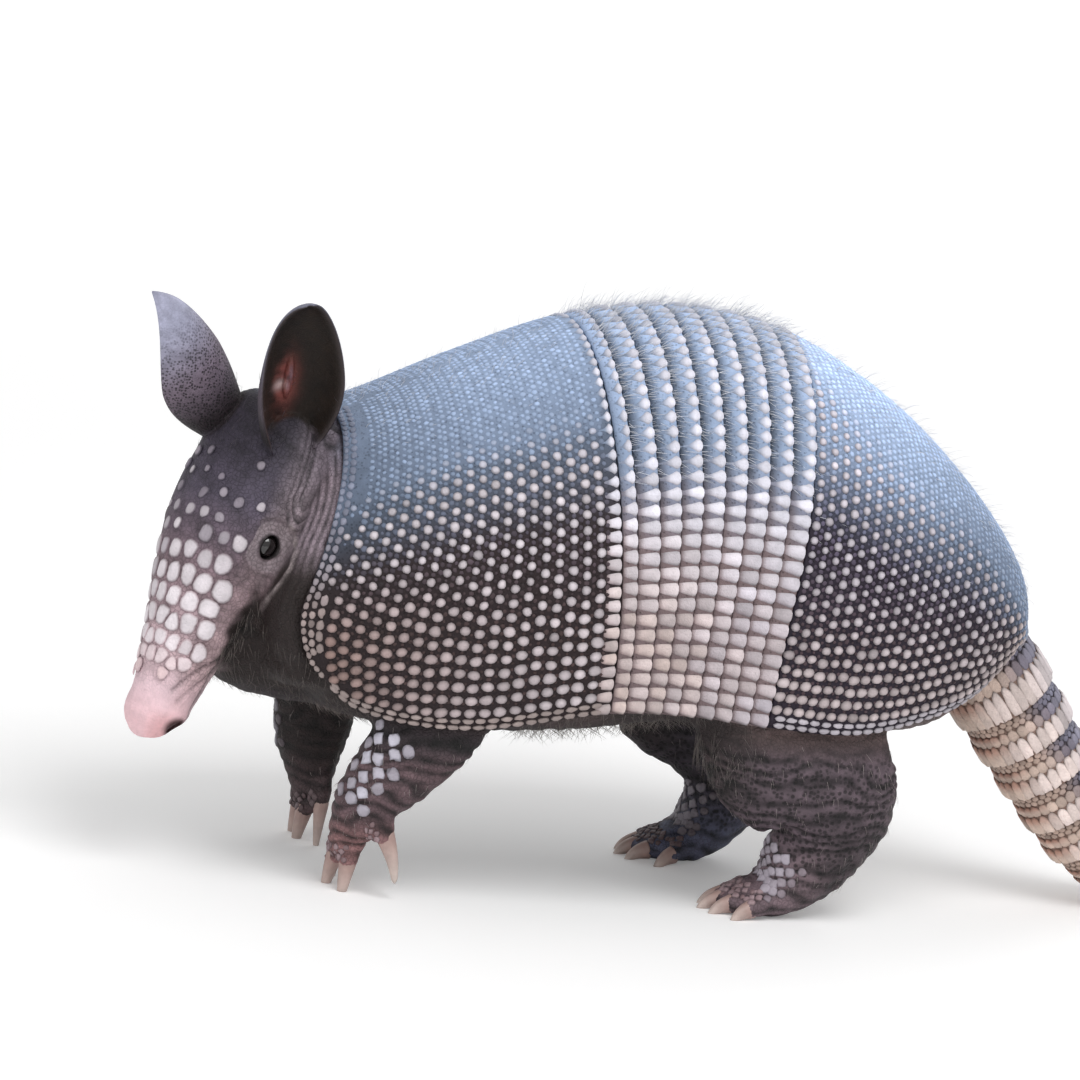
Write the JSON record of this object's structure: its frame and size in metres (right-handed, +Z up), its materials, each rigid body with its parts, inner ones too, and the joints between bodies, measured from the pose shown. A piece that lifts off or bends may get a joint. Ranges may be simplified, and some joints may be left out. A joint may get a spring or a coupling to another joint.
{
  "type": "nine-banded armadillo",
  "caption": "Life-size still armadillo, walking nose down, with a jointed-looking banded shell, plated head, upright ears and a ringed tail on the floor.",
  "frame": {"origin": "on the floor, under the middle of the whole animal's box", "axes": "+X is the animal's left, +Y runs back along the body to the tail, +Z is up; the animal walks towards -Y"},
  "size_m": [0.143, 0.5416, 0.2004],
  "materials": {
    "skin": "wrinkled dark purple-brown hide with small horny scales",
    "muzzle": "pinkish grey skin between pale plates, pink towards the nose",
    "head_plates": "pale horny plates, satin",
    "ear": "thin pitted skin, lilac grey behind and dark brown inside",
    "eye": "wet gloss, almost black",
    "claw": "horn, pale with a darker root",
    "shield": "cream rosette scutes set in dark small scales, blue grey on the back",
    "band": "cream wedge scutes with thin dark seams, blue grey on the back",
    "tail_armour": "cream toothed rings with dark small scales in front of each"
  },
  "bodies": {
    "root": {"trunk": "skin", "neck": "skin", "head": "muzzle", "head_shield": "head_plates", "ear_left": "ear", "ear_right": "ear", "eye_left": "eye", "eye_right": "eye", "foreleg_left": "skin", "forefoot_left": "skin", "foreclaw_left_1": "claw", "foreclaw_left_2": "claw", "foreclaw_left_3": "claw", "foreclaw_left_4": "claw", "foreleg_right": "skin", "forefoot_right": "skin", "foreclaw_right_1": "claw", "foreclaw_right_2": "claw", "foreclaw_right_3": "claw", "foreclaw_right_4": "claw", "hindleg_left": "skin", "hindfoot_left": "skin", "hindclaw_left_1": "claw", "hindclaw_left_2": "claw", "hindclaw_left_3": "claw", "hindclaw_left_4": "claw", "hindclaw_left_5": "claw", "hindleg_right": "skin", "hindfoot_right": "skin", "hindclaw_right_1": "claw", "hindclaw_right_2": "claw", "hindclaw_right_3": "claw", "hindclaw_right_4": "claw", "hindclaw_right_5": "claw", "scapular_shield": "shield", "pelvic_shield": "shield", "band_1": "band", "band_2": "band", "band_3": "band", "band_4": "band", "band_5": "band", "band_6": "band", "band_7": "band", "band_8": "band", "band_9": "band", "tail_ring_1": "tail_armour", "tail_ring_2": "tail_armour", "tail_ring_3": "tail_armour", "tail_ring_4": "tail_armour", "tail_ring_5": "tail_armour", "tail_ring_6": "tail_armour", "tail_ring_7": "tail_armour", "tail_ring_8": "tail_armour", "tail_ring_9": "tail_armour", "tail_ring_10": "tail_armour", "tail_ring_11": "tail_armour", "tail_ring_12": "tail_armour", "tail_tip": "tail_armour"}
  },
  "joints": []
}
